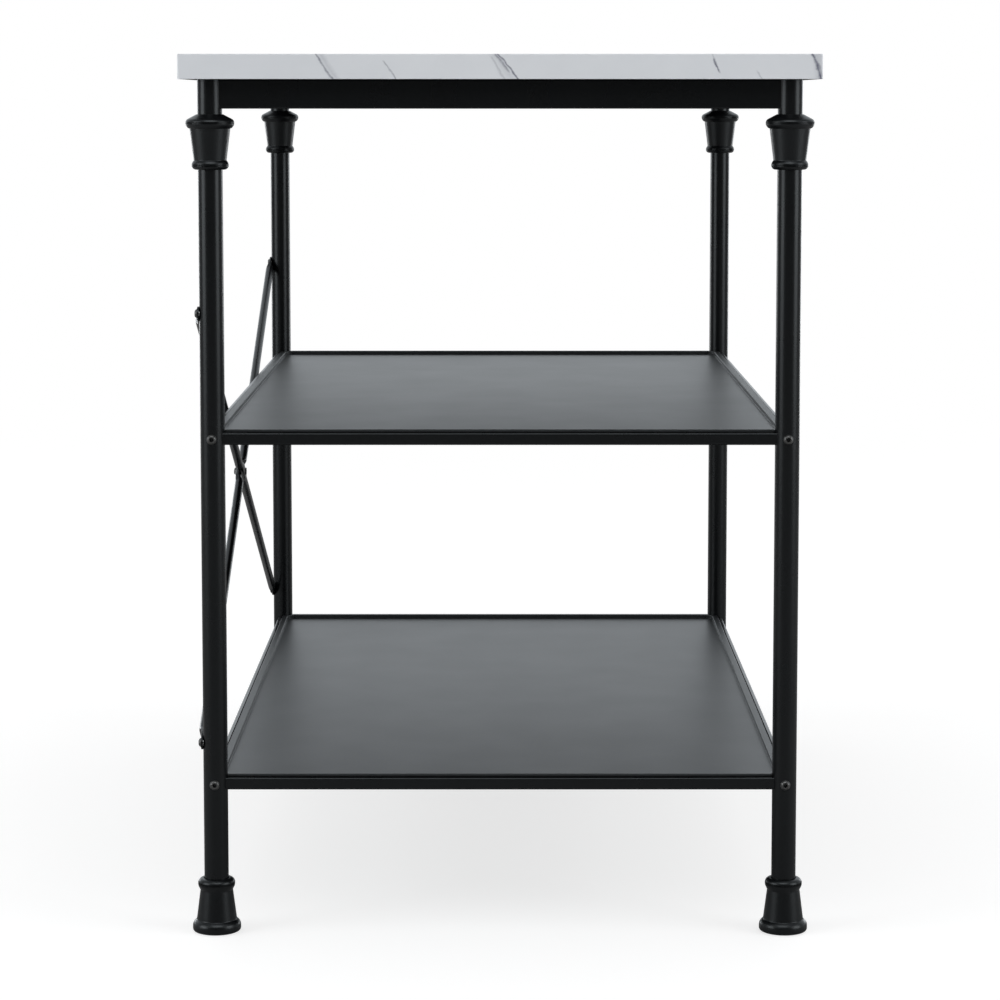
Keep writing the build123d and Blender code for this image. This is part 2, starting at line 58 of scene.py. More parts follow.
def rounded(points, radii, closed=True, arc_steps=7):
    """An outline with rounded corners, as an array of points.

    Each corner becomes an arc of its own radius that touches both straight sides. One more point a
    little way along each side keeps that side flat when the mesh is shaded. An open outline keeps its
    two ends as they are, and their radii aren't used.
    """
    points = np.asarray(points, float)
    radius = np.asarray(radii, float)[:, None]
    back = np.roll(points, 1, axis=0) - points
    ahead = np.roll(points, -1, axis=0) - points
    back /= np.linalg.norm(back, axis=1, keepdims=True)
    ahead /= np.linalg.norm(ahead, axis=1, keepdims=True)
    cosine = np.clip((back * ahead).sum(axis=1, keepdims=True), -0.99999, 0.99999)
    half = 0.5 * np.arccos(cosine)
    reach = radius / np.tan(half)
    inward = (back + ahead) / np.linalg.norm(back + ahead, axis=1, keepdims=True)
    centre = points + inward * radius / np.sin(half)
    first = (points + back * reach - centre)[:, None]
    last = (points + ahead * reach - centre)[:, None]
    sweep = (math.pi - 2 * half)[:, None]
    share = np.linspace(0, 1, arc_steps)[None, :, None]
    arc = np.sin((1 - share) * sweep) * first + np.sin(share * sweep) * last
    arc = arc / np.sin(sweep) + centre[:, None]
    margin = 0.3 * radius
    entry = (points + back * (reach + margin))[:, None]
    leaving = (points + ahead * (reach + margin))[:, None]
    turns = np.concatenate([entry, arc, leaving], axis=1)
    if closed:
        return turns.reshape(-1, 2)
    return np.concatenate([points[:1], turns[1:-1].reshape(-1, 2), points[-1:]])


def turned(outline, axis, sides=96):
    """An outline of (radius, height) carried once round the upright axis at (x, y)."""
    angle = np.linspace(0, 2 * math.pi, sides, endpoint=False)
    radius = outline[:, :1]
    x = axis[0] + radius * np.cos(angle)
    y = axis[1] + radius * np.sin(angle)
    z = outline[:, 1:] + 0 * angle
    return np.stack([x, y, z], axis=-1)


def surface(name, points, close_rows=False):
    """A closed mesh of points[copy, row, column].

    Every four neighbours make a face, and the columns run round and join up. The rows join up too
    where close_rows is set, and otherwise one flat face closes the first row and one the last. The
    volume that a copy encloses, the sum of its faces' cones to the origin, is negative where its faces
    point inwards, and then they are turned round.
    """
    copies, rows, columns = points.shape[:3]
    index = np.arange(rows * columns).reshape(rows, columns)
    ring = np.concatenate([index, index[:, :1]], axis=1)
    if close_rows:
        ring = np.concatenate([ring, ring[:1]])
    cells = np.stack([ring[:-1, :-1], ring[1:, :-1], ring[1:, 1:], ring[:-1, 1:]], axis=-1).reshape(-1, 4)
    caps = [] if close_rows else [index[0], index[-1][::-1]]
    faces = []
    for copy, grid in enumerate(points.reshape(copies, -1, 3)):
        local = grid - grid.mean(axis=0)
        fans = [np.stack([0 * cap + cap[0], cap, np.roll(cap, -1)], axis=-1) for cap in caps]
        triangles = np.concatenate([cells[:, [0, 1, 2]], cells[:, [0, 2, 3]], *fans])
        a, b, c = (local[triangles[:, k]] for k in range(3))
        volume = (a * np.cross(b, c)).sum()
        step = 1 if volume > 0 else -1
        start = copy * rows * columns
        faces += (cells[:, ::step] + start).tolist()
        faces += [(cap[::step] + start).tolist() for cap in caps]
    mesh = bpy.data.meshes.new(name)
    mesh.from_pydata(points.reshape(-1, 3), [], faces)
    mesh.shade_smooth()
    mesh.set_sharp_from_angle(angle=math.radians(40))
    piece = bpy.data.objects.new(name, mesh)
    bpy.context.scene.collection.objects.link(piece)
    return piece


def dress(piece, material, slot, body, *nodes):
    """Give a piece its finish, the body that it moves with and the CAD nodes that it stands for."""
    piece.data.materials.append(material)
    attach(piece, body)
    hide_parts(*nodes)


def empty_material(name):
    """A new material with its node tree, its surface shader and the object's own coordinates."""
    material = bpy.data.materials.new(name)
    material.use_nodes = True
    tree = material.node_tree
    shader = tree.nodes["Principled BSDF"]
    place = tree.nodes.new("ShaderNodeTexCoord").outputs["Object"]
    return material, tree, shader, place


def noise(tree, place, scale, detail, roughness=0.5):
    """A noise texture's value, from about 0.3 to 0.7, over the given coordinates."""
    texture = tree.nodes.new("ShaderNodeTexNoise")
    texture.inputs["Scale"].default_value = scale
    texture.inputs["Detail"].default_value = detail
    texture.inputs["Roughness"].default_value = roughness
    tree.links.new(place, texture.inputs["Vector"])
    return texture.outputs["Fac"]


def spread(tree, value, low, high, start=0.3, end=0.7):
    """A value from start to end carried over to the range from low to high."""
    ramp = tree.nodes.new("ShaderNodeMapRange")
    ramp.inputs["From Min"].default_value = start
    ramp.inputs["From Max"].default_value = end
    ramp.inputs["To Min"].default_value = low
    ramp.inputs["To Max"].default_value = high
    tree.links.new(value, ramp.inputs["Value"])
    return ramp.outputs["Result"]


def mixed(tree, share, first, second):
    """A colour between two, each a fixed colour or another node's output."""
    mix = tree.nodes.new("ShaderNodeMix")
    mix.data_type = "RGBA"
    tree.links.new(share, mix.inputs["Factor"])
    for name, colour in (("A", first), ("B", second)):
        socket = next(s for s in mix.inputs if s.name == name and s.type == "RGBA")
        if isinstance(colour, tuple):
            socket.default_value = (*colour, 1)
        else:
            tree.links.new(colour, socket)
    return next(s for s in mix.outputs if s.type == "RGBA")


def bumped(tree, shader, height, strength, distance):
    """Raise the surface by a height value, in metres of distance."""
    bump = tree.nodes.new("ShaderNodeBump")
    bump.inputs["Strength"].default_value = strength
    bump.inputs["Distance"].default_value = distance
    tree.links.new(height, bump.inputs["Height"])
    tree.links.new(bump.outputs["Normal"], shader.inputs["Normal"])


def two_tones(tree, shader, value, dark, light):
    """Colour the surface from dark to light as a noise value goes from its low end to its high end."""
    tree.links.new(mixed(tree, spread(tree, value, 0, 1), dark, light), shader.inputs["Base Color"])


def powder_coat(name, colour, rough, pebble, specular):
    """Baked powder paint: a near-black colour with a faint lighter dusting, a roughness that drifts between
    two values over some centimetres, and the fine pebbled skin that the powder leaves."""
    material, tree, shader, place = empty_material(name)
    lighter = tuple(dusting_gain * part for part in colour)
    two_tones(tree, shader, noise(tree, place, scale=240, detail=3), colour, lighter)
    drift = noise(tree, place, scale=14, detail=4)
    tree.links.new(spread(tree, drift, *rough), shader.inputs["Roughness"])
    shader.inputs["Specular IOR Level"].default_value = specular
    shader.inputs["Specular Tint"].default_value = cool_sheen
    bumped(tree, shader, noise(tree, place, scale=1500, detail=2), pebble, pebble_height)
    return material


tube_finish = powder_coat("tube_powder_coat", tube_black, rough=(0.26, 0.30), pebble=0.20, specular=0.33)
leg_axes = {}
for corner in corners:
    low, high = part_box(f"leg_{corner}")
    leg_axes[corner] = ((low.x + high.x) / 2, (low.y + high.y) / 2)
    leg_radius = (high.x - low.x) / 2
    leg_bore = leg_radius - leg_wall
    ring = [(leg_bore, low.z), (leg_radius, low.z), (leg_radius, high.z), (leg_bore, high.z)]
    outline = rounded(ring, [leg_edge_radius] * 4)
    leg = surface(f"leg_tube_{corner}", turned(outline, leg_axes[corner])[None], close_rows=True)
    dress(leg, tube_finish, "black_tube", "frame", f"leg_{corner}")
leg_x = leg_axes["front_right"][0]
leg_y = leg_axes["back_right"][1]

# Leg plugs and foot studs: turned steel, zinc plated. A plug is pressed into each leg's lower end,
# and the stud that comes up out of the foot screws into it.
zinc_light = (0.62, 0.62, 0.60)
zinc_dark = (0.46, 0.47, 0.47)


def finish_nodes(material, *nodes):
    """Give CAD nodes that stay in the model a procedural finish."""
    for node in nodes:
        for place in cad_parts[node].material_slots:
            place.material = material


def zinc_plate(name):
    """Bright zinc: a pale metal with cloudy patches, finely roughened by the tumbling barrel."""
    material, tree, shader, place = empty_material(name)
    clouds = noise(tree, place, scale=90, detail=3)
    two_tones(tree, shader, clouds, zinc_dark, zinc_light)
    tree.links.new(spread(tree, clouds, 0.24, 0.42), shader.inputs["Roughness"])
    shader.inputs["Metallic"].default_value = 1.0
    bumped(tree, shader, noise(tree, place, scale=2600, detail=2), strength=0.15, distance=0.03 * mm)
    return material


zinc_finish = zinc_plate("zinc_plated_steel")
finish_nodes(zinc_finish, "leg_plugs", *(f"foot_stud_{corner}" for corner in corners))

# Glide pads: grey-black nylon discs that stay still on the floor while the feet turn above them.
# They are moulded, with a fine matt grain.
nylon_dark = (0.020, 0.020, 0.021)
nylon_light = (0.036, 0.036, 0.037)


def moulded_nylon(name):
    """Matt moulded nylon: two near greys in a fine grain, rough all over."""
    material, tree, shader, place = empty_material(name)
    grain = noise(tree, place, scale=900, detail=4)
    two_tones(tree, shader, grain, nylon_dark, nylon_light)
    tree.links.new(spread(tree, grain, 0.55, 0.72), shader.inputs["Roughness"])
    bumped(tree, shader, grain, strength=0.2, distance=0.06 * mm)
    return material


finish_nodes(moulded_nylon("moulded_nylon"), *(f"glide_pad_{corner}" for corner in corners))

# Bell feet: cast, turned and painted black, with a rounded rim, a cone and a bead where the leg goes in.
# Each screws in and out to level the island, so it moves with its own body.
casting_black = (0.0022, 0.0025, 0.0030)
casting_finish = powder_coat(
    "casting_powder_coat", casting_black, rough=(0.32, 0.37), pebble=0.20, specular=0.37
)
foot_wall_outline = (
    # radius, height above the foot's lowest edge, corner radius, in millimetres
    (18.8, 0.0, 0.3),
    (25.2, 0.0, 3.0),
    (25.2, 9.4, 7.2),
    (21.0, 12.6, 1.4),
    (17.0, 44.0, 0.8),
    (19.3, 48.6, 7.0),
    (19.3, 56.4, 5.0),
    (13.0, 56.4, 0.4),
    (13.0, 17.4, 0.5),
    (4.05, 17.4, 0.3),
    (4.05, 7.4, 0.3),
    (18.8, 7.4, 0.5),
)


def turned_casting(name, corner, base, wall_outline):
    """A casting turned round a leg's axis, from its outline of radius, height and corner radius."""
    outline = np.array(wall_outline) * mm
    ring = outline[:, :2] + (0, base)
    return surface(name, turned(rounded(ring, outline[:, 2]), leg_axes[corner])[None], close_rows=True)


for corner in corners:
    foot_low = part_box(f"foot_{corner}")[0].z
    foot = turned_casting(f"bell_foot_{corner}", corner, foot_low, foot_wall_outline)
    dress(foot, casting_finish, "black_casting", f"foot_{corner}", f"foot_{corner}")

# Collars: turned ornaments slipped over the legs under the worktop, painted black like the feet.
# From below: a bead, a cone that widens upwards, an undercut, a heavy rim and a sloping cap.
collar_wall_outline = (
    # radius, height above the collar's lowest edge, corner radius, in millimetres
    (12.8, 0.0, 0.3),
    (18.9, 0.0, 4.4),
    (18.9, 6.8, 6.0),
    (16.8, 9.4, 1.0),
    (20.9, 42.2, 0.6),
    (22.4, 42.4, 0.3),
    (24.9, 45.6, 5.0),
    (24.9, 50.6, 4.6),
    (13.7, 56.5, 0.6),
    (12.8, 56.5, 0.2),
)
for corner in corners:
    collar_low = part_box(f"collar_{corner}")[0].z
    collar = turned_casting(f"turned_collar_{corner}", corner, collar_low, collar_wall_outline)
    dress(collar, casting_finish, "black_casting", "frame", f"collar_{corner}")

# Aprons and rails: rectangular steel tube on edge under the worktop, coped to the round legs and welded,
# and the shelf rails, made the same way in half-inch square tube.
weld_gap = 0.05 * mm
apron_wall = 1.2 * mm
apron_corner_radius = 1.5 * mm
rail_wall = 1.2 * mm
rail_corner_radius = 2.0 * mm
tube_sections = {
    "apron": (apron_wall, apron_corner_radius),
    "lower_rail": (rail_wall, rail_corner_radius),
    "upper_rail": (rail_wall, rail_corner_radius),
}
ends = {"left": -leg_x, "right": leg_x}
sides = {"front": -leg_y, "back": leg_y}


def coped_tube(node, along, wall, corner_radius):
    """A box section carried along X or Y between two legs, with both ends hollowed to fit the legs.

    A point that lies off to one side of the tube's middle ends where its line meets the leg's circle:
    at the square root of the circle's radius squared less that offset squared from the leg's axis.
    The outer skin runs one way and the inner skin back, so that the tube is closed.
    """
    low, high = (np.array(end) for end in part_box(node))
    middle = (low + high) / 2
    across = 1 - along
    half_deep = (high[across] - low[across]) / 2
    half_tall = (high[2] - low[2]) / 2
    reach = leg_x if along == 0 else leg_y
    skins = []
    for inset in (0, wall):
        deep = half_deep - inset
        tall = half_tall - inset
        radius = max(corner_radius - inset, wall / 4)
        box = [(-deep, -tall), (deep, -tall), (deep, tall), (-deep, tall)]
        skins.append(rounded(box, [radius] * 4))
    rows = []
    for skin, end in ((skins[0], -1), (skins[0], 1), (skins[1], 1), (skins[1], -1)):
        cope = np.sqrt((leg_radius + weld_gap) ** 2 - skin[:, 0] ** 2)
        points = np.zeros((len(skin), 3))
        points[:, along] = end * (reach - cope)
        points[:, across] = middle[across] + skin[:, 0]
        points[:, 2] = middle[2] + skin[:, 1]
        rows.append(points)
    return np.stack(rows)


for side in (*ends, *sides):
    along = 1 if side in ends else 0
    for kind, (wall, corner_radius) in tube_sections.items():
        points = coped_tube(f"{kind}_{side}", along, wall, corner_radius)
        tube = surface(f"{kind}_tube_{side}", points[None], close_rows=True)
        dress(tube, tube_finish, "black_tube", "frame", f"{kind}_{side}")

# Corner brackets and shelf stiffeners: folded plate under the worktop and the trays, sprayed black
# before the island is put together.
plate_black = (0.011, 0.011, 0.012)
bracket_finish = powder_coat(
    "plate_powder_coat", plate_black, rough=(0.38, 0.48), pebble=0.30, specular=0.42
)
bracket_nodes = [f"corner_bracket_{corner}" for corner in corners]
finish_nodes(bracket_finish, *bracket_nodes, "lower_stiffener", "upper_stiffener")

# Trays: one folded sheet a shelf, sprayed satin black. The lip rests on the rails from their middle
# inwards, the wall beside them goes down to the floor, and both are set back round the legs.
tray_black = (0.0120, 0.0130, 0.0140)
tray_finish = powder_coat("tray_powder_coat", tray_black, rough=(0.395, 0.415), pebble=0.12, specular=0.45)
tray_sheet = 1.0 * mm
tray_lip_width = 7.5 * mm
tray_lip_height = 3.0 * mm
tray_recess = 4.8 * mm
tray_leg_gap = 0.5 * mm
tray_lip_at_leg = 3.5 * mm
tray_notch_radius = leg_radius + tray_leg_gap
tray_wall_notch_radius = tray_notch_radius + tray_lip_at_leg
tray_floor_edge = 3.0 * mm
notch_steps = 17


def tray_loop(inset, notch_radius):
    """A loop round the tray in plan: a rectangle with a part of a circle bitten out round each leg.

    The circle meets the rectangle's side where the sine of its angle is the inset over its radius. A
    quarter is worked out and mirrored, and the half that this gives is turned round for the other half.
    """
    first = math.asin(inset / notch_radius)
    angle = np.linspace(first, math.pi / 2 - first, notch_steps)
    turn_x = leg_x - notch_radius * np.sin(angle)
    turn_y = leg_y - notch_radius * np.cos(angle)
    turn = np.stack([turn_x, turn_y], axis=-1)
    quarter = np.concatenate([[(leg_x - inset, 0)], turn, [(0, leg_y - inset)]])
    half = np.concatenate([quarter[:-1], (quarter * (-1, 1))[:0:-1]])
    return np.concatenate([half, -half])


def tray_points(rail_top):
    """The lip's section, inwards distance against height, carried round between the tray's loops."""
    floor = tray_lip_height - tray_recess
    under = floor - tray_sheet
    outer_skin = tray_lip_width - tray_sheet
    inner_edge = tray_lip_width + tray_floor_edge
    section = (
        # distance in from the outer edge, height above the rails, corner radius
        (inner_edge, floor, 0.1 * mm),
        (tray_lip_width, floor, 0.6 * mm),
        (tray_lip_width, tray_lip_height, 0.9 * mm),
        (0, tray_lip_height, 0.9 * mm),
        (0, 0, 0.2 * mm),
        (tray_sheet, 0, 0.2 * mm),
        (tray_sheet, tray_lip_height - tray_sheet, 0.3 * mm),
        (outer_skin, tray_lip_height - tray_sheet, 0.3 * mm),
        (outer_skin, under, 0.3 * mm),
        (inner_edge, under, 0.1 * mm),
    )
    section = np.array(section)
    outline = rounded(section[:, :2], section[:, 2], closed=False)
    outer = tray_loop(0, tray_notch_radius)
    wall = tray_loop(tray_lip_width, tray_wall_notch_radius)
    floor_edge = tray_loop(inner_edge, tray_wall_notch_radius + tray_floor_edge)
    over_lip = np.clip(outline[:, 0] / tray_lip_width, 0, 1)[:, None, None]
    past_lip = np.clip((outline[:, 0] - tray_lip_width) / tray_floor_edge, 0, 1)[:, None, None]
    plan = outer + (wall - outer) * over_lip + (floor_edge - wall) * past_lip
    height = np.broadcast_to(rail_top + outline[:, 1, None, None], (*plan.shape[:2], 1))
    return np.concatenate([plan, height], axis=-1)


for shelf in ("lower", "upper"):
    rail_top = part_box(f"{shelf}_rail_left")[1].z
    tray = surface(f"{shelf}_tray_sheet", tray_points(rail_top)[None])
    dress(tray, tray_finish, "black_tray", "frame", f"{shelf}_tray")

# Painted shade strips: a thin, matt, near-black strip along each rail beside the lip. It is no part of the
# island: it paints the dark shadow line that falls between the lip and the rail's outer edge. The
# photograph shows only a dark line between the lip and the rail's outer edge there, so that it is felt is
# a guess.
shade_strip_width = 2.1 * mm
shade_strip_thickness = 0.4 * mm
shade_strip_dark = (0.0020, 0.0020, 0.0022)
shade_strip_light = (0.0060, 0.0060, 0.0064)


def painted_shade_material(name):
    """Painted shade: near-black and matt, with no sheen at all and a fine fuzzy grain."""
    material, tree, shader, place = empty_material(name)
    fuzz = noise(tree, place, scale=1400, detail=4)
    two_tones(tree, shader, fuzz, shade_strip_dark, shade_strip_light)
    shader.inputs["Roughness"].default_value = 1.0
    shader.inputs["Specular IOR Level"].default_value = 0.0
    bumped(tree, shader, fuzz, strength=0.5, distance=0.1 * mm)
    return material


def shade_strip_points(rail_top):
    """Four straight strips, each a rounded rectangle carried from leg to leg outside the tray's edge."""
    flat = [(0, 0), (shade_strip_width, 0), (shade_strip_width, shade_strip_thickness), (0, shade_strip_thickness)]
    section = rounded(flat, [shade_strip_thickness / 4] * 4)
    clear = leg_radius + weld_gap
    long_runs = [(0, leg_x, edge) for edge in (leg_y, -leg_y)]
    end_runs = [(1, leg_y, edge) for edge in (leg_x, -leg_x)]
    strips = []
    for along, reach, edge in long_runs + end_runs:
        strip = np.zeros((2, len(section), 3))
        strip[0, :, along] = clear - reach
        strip[1, :, along] = reach - clear
        strip[:, :, 1 - along] = edge + math.copysign(1, edge) * section[:, 0]
        strip[:, :, 2] = rail_top + section[:, 1]
        strips.append(strip)
    return np.stack(strips)


# The strips' near-black colour is painted shade, standing for the shadow line beside each tray's lip.
painted_shade_finish = painted_shade_material("painted_shade_black")
for shelf in ("lower", "upper"):
    rail_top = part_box(f"{shelf}_rail_left")[1].z
    shade_strips = surface(f"{shelf}_tray_painted_shade", shade_strip_points(rail_top))
    shade_strips.data.materials.append(painted_shade_finish)
    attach(shade_strips, "frame")

# Shelf bolts: button heads with hex sockets, black oxide on steel. They go through the legs from the
# ends of the island into threaded plugs in the long rails. The bracket bolts have the same finish.
shelf_bolt = {
    "head_radius": 5.25 * mm,
    "head_height": 3.3 * mm,
    "socket": 4.0 * mm,
    "shank_radius": 3.0 * mm,
    "shank_length": 43.4 * mm,
}
bolt_sides = 72
dome_rings = 9
dome_power = 2.2
edge_share = 0.22
socket_share = 0.25
socket_dimple = 0.1 * mm
socket_chamfer_width = 0.2 * mm
socket_chamfer_depth = 0.25 * mm
socket_land = 0.4 * mm
seat_chamfer = 0.12 * mm
turn_between_bolts = 0.7
oxide_dark = (0.080, 0.080, 0.079)
oxide_light = (0.140, 0.139, 0.136)


def black_oxide(name):
    """Blackened steel: a dark metal, mottled where the oil has dried."""
    material, tree, shader, place = empty_material(name)
    mottle = noise(tree, place, scale=420, detail=4)
    two_tones(tree, shader, mottle, oxide_dark, oxide_light)
    tree.links.new(spread(tree, mottle, 0.26, 0.42), shader.inputs["Roughness"])
    shader.inputs["Metallic"].default_value = 0.8
    bumped(tree, shader, noise(tree, place, scale=3200, detail=2), strength=0.12, distance=0.02 * mm)
    return material


def button_bolts(name, seats, outwards, head_radius, head_height, socket, shank_radius, shank_length):
    """Button-head bolts, one at each seat, each with its head towards its own outward direction.

    Every row of points is a ring. In the socket a ring is a hexagon: its radius is half the socket's
    width over the cosine of the angle from the nearest flat's middle. Outside it a ring is a circle,
    on a dome whose height falls with a power of the way out from the socket, a little over the square.
    """
    angle = np.linspace(0, 2 * math.pi, bolt_sides, endpoint=False)
    from_flat = np.mod(angle + math.pi / 6, math.pi / 3) - math.pi / 6
    hexagon = socket / 2 / np.cos(from_flat)
    circle = np.ones(bolt_sides)
    land = socket / 2 / math.cos(math.pi / 6) + socket_land
    socket_floor = -socket_share * head_height
    edge_height = edge_share * head_height
    out = np.linspace(0, 1, dome_rings)[:, None]
    dome_radius = (land + (head_radius - land) * out) * circle
    dome_height = head_height - (head_height - edge_height) * out ** dome_power + 0 * circle
    rings = [
        (0.5 * hexagon, socket_floor - socket_dimple),
        (hexagon, socket_floor),
        (hexagon, head_height - socket_chamfer_depth),
        (hexagon + socket_chamfer_width, head_height),
        *zip(dome_radius, dome_height),
        (head_radius * circle, seat_chamfer),
        ((head_radius - seat_chamfer) * circle, 0),
        (shank_radius * circle, 0),
        (shank_radius * circle, -shank_length),
    ]
    radius = np.stack([ring[0] for ring in rings])
    height = np.stack([ring[1] + 0 * angle for ring in rings])
    up = np.array((0, 0, 1.0))
    copies = []
    for count, (seat, outward) in enumerate(zip(seats, np.array(outwards, float))):
        sideways = np.cross(up, outward)
        turn = turn_between_bolts * count
        across = (radius * np.cos(angle + turn))[..., None] * sideways
        upward = (radius * np.sin(angle + turn))[..., None] * up
        copies.append(np.array(seat) + across + upward + height[..., None] * outward)
    return surface(name, np.stack(copies))


oxide_finish = black_oxide("black_oxide")
for shelf in ("lower", "upper"):
    low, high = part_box(f"{shelf}_shelf_bolts")
    bolt_height = (low.z + high.z) / 2
    seats = [(x + math.copysign(leg_radius, x), y, bolt_height) for x, y in leg_axes.values()]
    outwards = [(math.copysign(1, x), 0, 0) for x, y in leg_axes.values()]
    bolts = button_bolts(f"{shelf}_button_bolts", seats, outwards, **shelf_bolt)
    dress(bolts, oxide_finish, "black_bolt", "frame", f"{shelf}_shelf_bolts")
finish_nodes(zinc_finish, "lower_rail_nuts", "upper_rail_nuts")
finish_nodes(oxide_finish, "bracket_bolts")

# Crossed brace: two round bars on the back, pressed flat at their ends and half flat where they cross,
# bolted to the outside of the back legs.
brace_bolt = {
    "head_radius": 4.75 * mm,
    "head_height": 2.75 * mm,
    "socket": 3.0 * mm,
    "shank_radius": 2.5 * mm,
}
# The section's width and thickness in millimetres, and its squareness, which is 2 for an ellipse.
bar_size = np.array((10.0, 10.0, 2.0))
tab_size = np.array((14.5, 2.0, 9.0))
crossing_size = np.array((12.4, 5.4, 4.0))
half_tab = tab_size[0] / 2 * mm
crossing_end = 13.0 * mm
press_length = 14.0 * mm
tab_length = 9.0 * mm
brace_sides = 64
stretch_rows = (3, 13, 11, 13, 3)
tip_rows = 13
tip_share = 0.9995


def eased(value, start, end):
    """From 0 at start to 1 at end, level at both: three times the square less twice the cube."""
    share = np.clip((value - start) / (end - start), 0, 1)
    return share * share * (3 - 2 * share)


def brace_bar(name, slope, shift):
    """A bar's section carried along its line from end to end.

    The section is a squared-off ellipse, whose width, thickness and squareness pass smoothly from the
    crossing to the round bar and on to the flat tab. Past the end bolt the width follows a half circle,
    and the last row stops just short of its tip, where the width would be nothing.
    """
    low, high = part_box("brace_end_bolts")
    rise = high.z - low.z - 2 * brace_bolt["head_radius"]
    half = math.hypot(leg_x, rise / 2)
    line = np.array((leg_x, 0, slope * rise / 2)) / half
    upward = np.cross(line, (0, 1.0, 0))
    tab_start = half - tab_length
    round_start = crossing_end + press_length
    round_end = tab_start - press_length
    stops = (0, crossing_end, round_start, round_end, tab_start, half)
    stretches = [
        np.linspace(start, end, rows, endpoint=False)
        for start, end, rows in zip(stops, stops[1:], stretch_rows)
    ]
    tip = np.sin(np.linspace(0, math.pi / 2, tip_rows)) * tip_share
    reach = np.concatenate([*stretches, half + half_tab * tip])
    reach = np.concatenate([-reach[:0:-1], reach])
    out = np.abs(reach)[:, None]
    from_crossing = eased(out, crossing_end, round_start)
    to_tab = eased(out, round_end, tab_start)
    size = crossing_size + (bar_size - crossing_size) * from_crossing
    size = size + (tab_size - size) * to_tab
    past = np.clip((out - half) / half_tab, 0, 1)
    width = size[:, :1] * mm * np.sqrt(1 - past ** 2)
    thickness = size[:, 1:2] * mm
    squareness = size[:, 2:]
    angle = np.linspace(0, 2 * math.pi, brace_sides, endpoint=False)
    cosine = np.cos(angle)
    sine = np.sin(angle)
    wide = 0.5 * width * np.sign(cosine) * np.abs(cosine) ** (2 / squareness)
    thick = 0.5 * thickness * np.sign(sine) * np.abs(sine) ** (2 / squareness)
    aside = shift * (1 - from_crossing) * crossing_size[1] / 2 * mm
    bar_low, bar_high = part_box("brace_bar_falling")
    tab_y = leg_y + leg_radius + tab_size[1] / 2 * mm
    middle = np.array((0, tab_y, (bar_low.z + bar_high.z) / 2))
    points = middle + reach[:, None, None] * line + wide[..., None] * upward
    points[..., 1] += thick + aside
    return surface(name, points[None])


for name, slope, shift in (("falling", -1, -1), ("rising", 1, 1)):
    bar = brace_bar(f"brace_rod_{name}", slope, shift)
    dress(bar, tube_finish, "black_tube", "frame", f"brace_bar_{name}")

# Brace fixings: smaller button bolts into rivet nuts in the back legs, and a bolt and nut where the
# bars cross.
end_shank_length = 12.0 * mm
centre_shank_length = 12.1 * mm
backwards = (0, 1, 0)
low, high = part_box("brace_end_bolts")
brace_heights = (low.z + brace_bolt["head_radius"], high.z - brace_bolt["head_radius"])
tab_face = leg_y + leg_radius + tab_size[1] * mm
seats = [(x, tab_face, z) for x in ends.values() for z in brace_heights]
end_bolts = button_bolts(
    "brace_end_buttons", seats, [backwards] * len(seats), shank_length=end_shank_length, **brace_bolt
)
dress(end_bolts, oxide_finish, "black_bolt", "frame", "brace_end_bolts")
crossing_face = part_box("brace_centre_bolt")[1].y - brace_bolt["head_height"]
centre_seat = (0, crossing_face, sum(brace_heights) / 2)
centre_bolt = button_bolts(
    "brace_centre_button", [centre_seat], [backwards], shank_length=centre_shank_length, **brace_bolt
)
dress(centre_bolt, oxide_finish, "black_bolt", "frame", "brace_centre_bolt")
finish_nodes(zinc_finish, "brace_rivet_nuts")
finish_nodes(oxide_finish, "brace_centre_nut")

# Worktop board, backing sheet and screws: pressed fibreboard with a dark paper sheet under it, fixed by
# screws that come up through the corner brackets.
board_pale = (0.50, 0.37, 0.24)
board_dark = (0.36, 0.25, 0.15)
paper_pale = (0.070, 0.068, 0.066)
paper_dark = (0.040, 0.039, 0.038)


def pressed_fibre(name, dark, pale, scale):
    """Fibres pressed into a sheet: two tones in a fine felted grain, matt."""
    material, tree, shader, place = empty_material(name)
    fibres = noise(tree, place, scale, detail=5, roughness=0.65)
    two_tones(tree, shader, fibres, dark, pale)
    tree.links.new(spread(tree, fibres, 0.70, 0.85), shader.inputs["Roughness"])
    bumped(tree, shader, fibres, strength=0.2, distance=0.1 * mm)
    return material


finish_nodes(pressed_fibre("raw_fibreboard", board_dark, board_pale, scale=380), "worktop_core")
finish_nodes(pressed_fibre("backing_paper", paper_dark, paper_pale, scale=700), "worktop_backing")
finish_nodes(zinc_finish, "worktop_screws")

